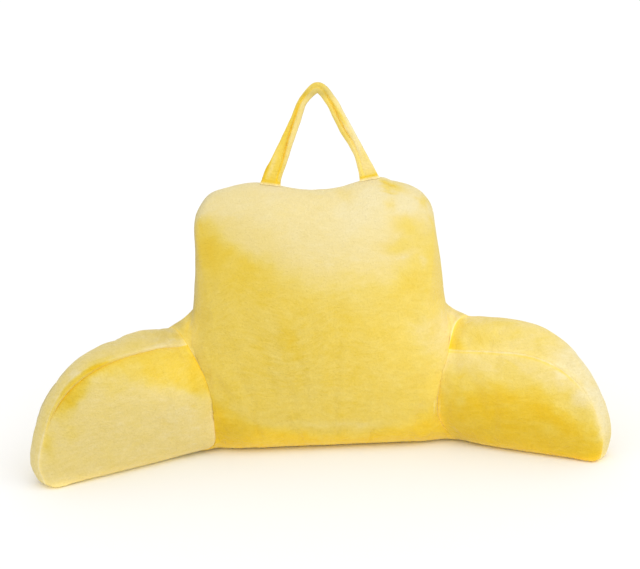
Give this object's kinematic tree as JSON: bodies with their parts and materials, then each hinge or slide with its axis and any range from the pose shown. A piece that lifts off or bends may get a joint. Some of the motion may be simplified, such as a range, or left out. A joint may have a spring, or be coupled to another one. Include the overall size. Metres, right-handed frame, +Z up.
{
  "type": "reading pillow with arms",
  "caption": "Freestanding plush reading pillow: filled backrest with rounded shoulders, splayed filled armrests and a folded strap handle standing up from the top seam.",
  "frame": {"origin": "on the flat base under the middle of the backrest, at the floor", "axes": "+Z up, -Y the way the pillow faces and its arms reach, +X to the right seen from the front"},
  "size_m": [0.9076, 0.3416, 0.5695],
  "materials": {
    "plush": "short pile yellow plush with a soft sheen and brushed nap",
    "strap": "the same yellow plush, sewn as a flat folded strap"
  },
  "bodies": {
    "root": {"backrest": "plush", "arm_left": "plush", "arm_right": "plush", "carry_handle": "strap"}
  },
  "joints": []
}
